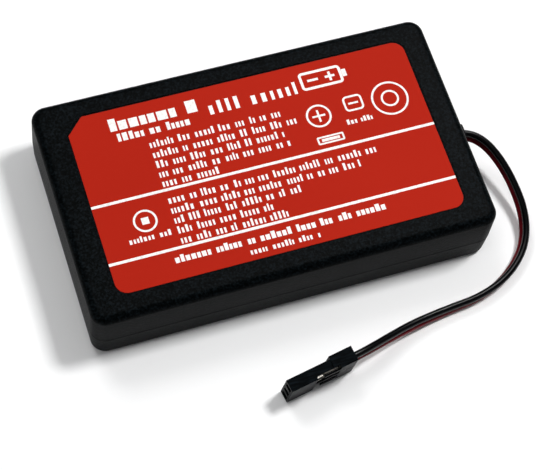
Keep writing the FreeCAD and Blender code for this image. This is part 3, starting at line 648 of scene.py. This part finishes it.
def insulated_wire(name, route, material):
    """A smooth curve of one spline whose control points are the route's, with a round section."""
    curve = bpy.data.curves.new(name, "CURVE")
    curve.dimensions = "3D"
    spline = curve.splines.new("NURBS")
    spline.points.add(len(route) - 1)
    weighted = np.concatenate([np.array(route) * MM, np.ones((len(route), 1))], 1)
    spline.points.foreach_set("co", weighted.ravel())
    spline.order_u = 3
    spline.use_endpoint_u = True
    spline.resolution_u = 12
    curve.bevel_depth = WIRE / 2 * MM
    curve.bevel_resolution = 8
    curve.use_fill_caps = True
    curve.materials.append(material)
    thing = bpy.data.objects.new(name, curve)
    bpy.context.scene.collection.objects.link(thing)
    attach(thing, "root")
    return thing


def extruded_pvc(name, dark, light):
    """Soft PVC off an extruder: smooth and waxy, with a slow unevenness of 1.2 mm along and around the
    wire that breaks up the line of its shine."""
    material, tree, shader, where = finish_of(name)
    waver = add(tree, "ShaderNodeTexNoise", inputs={"Vector": where, "Scale": 1 / (1.2 * MM), "Detail": 2.0})
    tone = add(tree, "ShaderNodeValToRGB", inputs={"Fac": waver.outputs["Fac"]},
               ramp=[(0.3, linear(dark)), (0.7, linear(light))])
    bump = add(tree, "ShaderNodeBump",
               inputs={"Height": waver.outputs["Fac"], "Strength": 0.15, "Distance": 0.05 * MM})
    tree.links.new(tone.outputs["Color"], shader.inputs["Base Color"])
    tree.links.new(bump.outputs["Normal"], shader.inputs["Normal"])
    shader.inputs["Roughness"].default_value = 0.25
    shader.inputs["IOR"].default_value = 1.53
    shader.inputs["Specular IOR Level"].default_value = 0.16
    return material


black_pvc = extruded_pvc("pvc_insulation_black", "#020203", "#060607")
red_pvc = extruded_pvc("pvc_insulation_red", "#520710", "#6c0b15")
black_lead = insulated_wire("lead_black", BLACK_ROUTE, black_pvc)
red_lead = insulated_wire("lead_red", RED_ROUTE, red_pvc)
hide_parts("black_wire")
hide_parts("red_wire")

# ---------------------------------------------------------------- strain relief
# A collar of black rubber moulded round both wires: a flange inside the wall, a neck through it, and a
# block outside with rounded front edges.
collar_low, collar_high = node_box("exit_grommet")
WALL_OUTSIDE, COLLAR_W, COLLAR_H, COLLAR_R = half_length, 2.8, 3.9, 0.35
COLLAR_Y, COLLAR_Z = -0.5, 7.15
NECK_LESS, NECK_R, BLOCK_EASE = 0.35, 0.2, 0.05
FLANGE_MORE, FLANGE_TALLER, FLANGE_T, FLANGE_R, FLANGE_EASE = 0.3, 0.2, 1.0, 0.3, 0.1

rubber, tree, shader, where = finish_of("rubber_black")
bloom = add(tree, "ShaderNodeTexNoise", inputs={"Vector": where, "Scale": 1 / (0.8 * MM), "Detail": 3.0})
tone = add(tree, "ShaderNodeValToRGB", inputs={"Fac": bloom.outputs["Fac"]},
           ramp=[(0.3, linear("#070708")), (0.7, linear("#0f1010"))])
tree.links.new(tone.outputs["Color"], shader.inputs["Base Color"])
shader.inputs["Roughness"].default_value = 0.5
shader.inputs["IOR"].default_value = 1.52
shader.inputs["Specular IOR Level"].default_value = 0.08


def sleeve(stations, y, z):
    """Rounded rectangles across the X axis, one per station (x, half width, half height, corner radius)."""
    stack = []
    for x, wide, high, radius in stations:
        track = walk(square(0, 0, 2 * wide, 2 * high), [radius] * 4, [8] * 4, [()] * 4)
        ring = rings(track, [0], [0])[0]
        stack.append(np.stack([np.full(len(ring), x), ring[:, 0] + y, ring[:, 1] + z], -1))
    return loft(np.stack(stack))


w, h = COLLAR_W / 2, COLLAR_H / 2
back, front = collar_low[0], collar_high[0]
flange_w, flange_h, neck_w, neck_h = w + FLANGE_MORE, h + FLANGE_TALLER, w - NECK_LESS, h - NECK_LESS
nose = np.radians(np.linspace(0, 90, 7))
stations = [(back, flange_w - FLANGE_EASE, flange_h - FLANGE_EASE, FLANGE_R),
            (back + FLANGE_EASE, flange_w, flange_h, FLANGE_R),
            (back + FLANGE_T, flange_w, flange_h, FLANGE_R), (back + FLANGE_T, neck_w, neck_h, NECK_R),
            (WALL_OUTSIDE, neck_w, neck_h, NECK_R),
            (WALL_OUTSIDE, w - BLOCK_EASE, h - BLOCK_EASE, COLLAR_R),
            (WALL_OUTSIDE + BLOCK_EASE, w, h, COLLAR_R)]
stations += [(front - COLLAR_R + COLLAR_R * math.sin(a), w - COLLAR_R * (1 - math.cos(a)),
              h - COLLAR_R * (1 - math.cos(a)), COLLAR_R) for a in nose]
collar = make_piece("lead_collar", [sleeve(stations, COLLAR_Y, COLLAR_Z)], rubber)
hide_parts("exit_grommet")

# ---------------------------------------------------------------- connector
# A three-way female housing moulded in black PBT, 2.54 mm pitch, standing on its narrow edge: a square
# mouth for each pin, a recess across one wide face where three latching fingers hold the terminals, and
# a slightly larger rear part with a short slot. Two ways are filled, the lowest is empty.
PLUG_L, PLUG_T, PLUG_H, PITCH = 14.0, 2.5, 7.62, 2.54
PLUG_YAW, PLUG_LEAN, PLUG_AT = math.radians(10.5), math.radians(6), (-7.94, -42.04, 0.0)
STEP_X, STEP, RISE = 9.2, 0.55, 0.25
SKIN, CAVITY = 0.3, 1.9
RECESS_X, RECESS_DEEP = (5.55, 10.5), 0.7
FINGER_X, FINGER_W = 7.05, 1.0
SLOT_X, SLOT_Z, SLOT_DEEP = (12.1, 13.5), (3.95, 4.25), 0.2
HOLE_T, HOLE_H, MOUTH_WALL = 1.6, 1.4, 1.2


def block_skin(planes, filled):
    """Skin of a body that three sets of planes cut into cells: a face stands where a filled cell meets an
    empty one, and it faces the empty one."""
    cells = np.pad(filled.astype(int), 1)
    shape = [len(p) for p in planes]
    points = np.stack(np.meshgrid(*planes, indexing="ij"), -1).reshape(-1, 3)
    faces = []
    for axis in range(3):
        u, v = (axis + 1) % 3, (axis + 2) % 3
        change = np.diff(cells, axis=axis)
        for sign, order in ((-1, [(0, 0), (1, 0), (1, 1), (0, 1)]), (1, [(0, 1), (1, 1), (1, 0), (0, 0)])):
            at = np.argwhere(change == sign)
            at[:, [u, v]] -= 1
            corner = np.repeat(at[:, None], 4, 1)
            corner[..., u] += np.array(order)[:, 0]
            corner[..., v] += np.array(order)[:, 1]
            faces.append(np.ravel_multi_index(tuple(np.moveaxis(corner, -1, 0)), shape))
    faces = np.vstack(faces)
    used, numbers = np.unique(faces, return_inverse=True)
    return points[used], numbers.reshape(-1, 4).tolist()


def fill(cells, middles, low, high, value):
    """Sets the cells whose middles lie in a box."""
    inside = [(m > a) & (m < b) for m, a, b in zip(middles, low, high)]
    cells[np.ix_(*[np.flatnonzero(i) for i in inside])] = value


def on_table(skin):
    """Takes a skin from the connector's own frame to its place: leans, turns and sets it down."""
    points, faces = skin
    turn = Matrix.Rotation(PLUG_YAW, 3, "Z") @ Matrix.Rotation(PLUG_LEAN, 3, "X")
    return points @ np.array(turn).T + np.array(PLUG_AT), faces


ways = PLUG_H / 2 + np.array([-1, 0, 1]) * PITCH
middle = PLUG_T / 2
way_edges = [ways + side * size / 2 for size in (CAVITY, HOLE_H, FINGER_W) for side in (-1, 1)]
planes = [np.array([0, MOUTH_WALL, RECESS_X[0], FINGER_X, STEP_X, RECESS_X[1], *SLOT_X, PLUG_L]),
          np.array([0, SLOT_DEEP, SKIN, middle - HOLE_T / 2, RECESS_DEEP, middle + HOLE_T / 2,
                    middle + CAVITY / 2, PLUG_T, PLUG_T + STEP]),
          np.sort(np.concatenate([[0, PLUG_H, PLUG_H + RISE], SLOT_Z, *way_edges]))]
middles = [(p[1:] + p[:-1]) / 2 for p in planes]
cells = np.zeros([len(m) for m in middles], bool)
fill(cells, middles, (0, 0, 0), (PLUG_L, PLUG_T, PLUG_H), True)
fill(cells, middles, (STEP_X, 0, 0), (PLUG_L, PLUG_T + STEP, PLUG_H + RISE), True)
fill(cells, middles, (RECESS_X[0], 0, 0), (RECESS_X[1], RECESS_DEEP, PLUG_H + RISE), False)
fill(cells, middles, (SLOT_X[0], 0, SLOT_Z[0]), (SLOT_X[1], SLOT_DEEP, SLOT_Z[1]), False)
for way in ways:
    fill(cells, middles, (MOUTH_WALL, middle - CAVITY / 2, way - CAVITY / 2),
         (PLUG_L, middle + CAVITY / 2, way + CAVITY / 2), False)
    fill(cells, middles, (0, middle - HOLE_T / 2, way - HOLE_H / 2),
         (MOUTH_WALL, middle + HOLE_T / 2, way + HOLE_H / 2), False)
    fill(cells, middles, (FINGER_X, 0, way - FINGER_W / 2), (RECESS_X[1], SKIN, way + FINGER_W / 2), True)

# PBT, glass-filled: hard and nearly black, satin, with faint flow streaks along the moulding.
pbt, tree, shader, where = finish_of("pbt_moulded_black")
along = add(tree, "ShaderNodeMapping",
            inputs={"Vector": where, "Rotation": (0, 0, -PLUG_YAW), "Scale": (0.15, 1, 1)})
streak = add(tree, "ShaderNodeTexNoise",
             inputs={"Vector": along.outputs["Vector"], "Scale": 1 / (0.35 * MM), "Detail": 3.0})
tone = add(tree, "ShaderNodeValToRGB", inputs={"Fac": streak.outputs["Fac"]},
           ramp=[(0.42, linear("#010203")), (0.7, linear("#0d1317"))])
bump = add(tree, "ShaderNodeBump",
           inputs={"Height": streak.outputs["Fac"], "Strength": 0.3, "Distance": 0.03 * MM})
tree.links.new(tone.outputs["Color"], shader.inputs["Base Color"])
tree.links.new(bump.outputs["Normal"], shader.inputs["Normal"])
shader.inputs["Roughness"].default_value = 0.34
shader.inputs["IOR"].default_value = 1.55
shader.inputs["Specular IOR Level"].default_value = 0.02

housing = make_piece("plug_housing", [on_table(block_skin(planes, cells))], pbt, 180.0)
edges = housing.modifiers.new("soft_edges", "BEVEL")
edges.width, edges.segments, edges.limit_method = 0.06 * MM, 2, "ANGLE"
edges.angle_limit, edges.harden_normals = math.radians(30), True
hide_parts("connector_housing")

# The terminals are stamped from tinned bronze, bright where they show in the recess.
dress(rolled_metal("bronze_strip_tinned", "#b9b4a8", "#e6e2da", 0.4, (6, 6, 1)),
      "negative_terminal", "positive_terminal")

# ---------------------------------------------------------------- floor, light and camera
# A white table in a dim room under a broad bounced fill, with soft panels on the right, behind and on
# the left, and two panels whose light only shows as shine: a small one for crisp lines on the metal and
# the wires, and a broad one for the haze on flat tops, which leaves the rounded edges black.
floor_mesh = bpy.data.meshes.new("table_top")
reach = 1.5
floor_mesh.from_pydata([(-reach, -reach, 0), (reach, -reach, 0), (reach, reach, 0), (-reach, reach, 0)],
                       [], [(0, 1, 2, 3)])
floor = bpy.data.objects.new("table_top", floor_mesh)
bpy.context.scene.collection.objects.link(floor)
paper, tree, shader, where = finish_of("paper_backdrop_white")
shader.inputs["Base Color"].default_value = linear("#fafafa")
shader.inputs["Roughness"].default_value = 0.9
floor_mesh.materials.append(paper)

world = bpy.data.worlds.new("room")
bpy.context.scene.world = world
world.use_nodes = True
world.node_tree.nodes["Background"].inputs["Color"].default_value = linear("#eef1f5")
world.node_tree.nodes["Background"].inputs["Strength"].default_value = 0.1


def soft_light(name, place, size, watts, fills, shines):
    """A square panel that faces the pack: it fills matt surfaces, shines in glossy ones, or both."""
    lamp = bpy.data.lights.new(name, "AREA")
    lamp.shape, lamp.size, lamp.energy = "SQUARE", size, watts
    thing = bpy.data.objects.new(name, lamp)
    thing.location = place
    thing.rotation_euler = Vector(place).to_track_quat("Z", "Y").to_euler()
    thing.visible_diffuse, thing.visible_glossy = fills, shines
    bpy.context.scene.collection.objects.link(thing)


soft_light("right_panel", (0.31, 0.03, 0.63), 0.13, 3.5, True, False)
soft_light("back_panel", (-0.12, 0.42, 0.66), 0.26, 1.6, True, False)
soft_light("left_panel", (-0.55, -0.1, 0.50), 0.30, 0.7, True, True)
soft_light("sheen_panel", (0.33, 0.27, 0.66), 0.13, 2.0, False, True)
soft_light("ceiling_bounce", (0.0, 0.35, 1.2), 1.6, 3.9, True, False)
soft_light("top_sheen_panel", (0.15, 0.275, 0.65), 0.32, 1.3, False, True)

AIM, DISTANCE = (-1.28, -11.56, 7.5), 339.5
AZIMUTH, ELEVATION, ROLL = math.radians(28.52), math.radians(64.28), math.radians(11.57)
ahead = Vector((math.cos(ELEVATION) * math.sin(AZIMUTH), math.cos(ELEVATION) * math.cos(AZIMUTH),
                -math.sin(ELEVATION)))
level = Vector((math.cos(AZIMUTH), -math.sin(AZIMUTH), 0))
upright = level.cross(ahead)
right = level * math.cos(ROLL) + upright * math.sin(ROLL)
up = upright * math.cos(ROLL) - level * math.sin(ROLL)
lens = bpy.data.cameras.new("camera")
lens.lens, lens.sensor_width, lens.sensor_fit = 117.16, 36.0, "HORIZONTAL"
lens.clip_start = 0.01
camera = bpy.data.objects.new("camera", lens)
place = Vector(AIM) * MM - ahead * DISTANCE * MM
camera.matrix_world = Matrix.Translation(place) @ Matrix((right, up, -ahead)).transposed().to_4x4()
bpy.context.scene.collection.objects.link(camera)
bpy.context.scene.camera = camera
bpy.context.scene.view_settings.view_transform = "Standard"
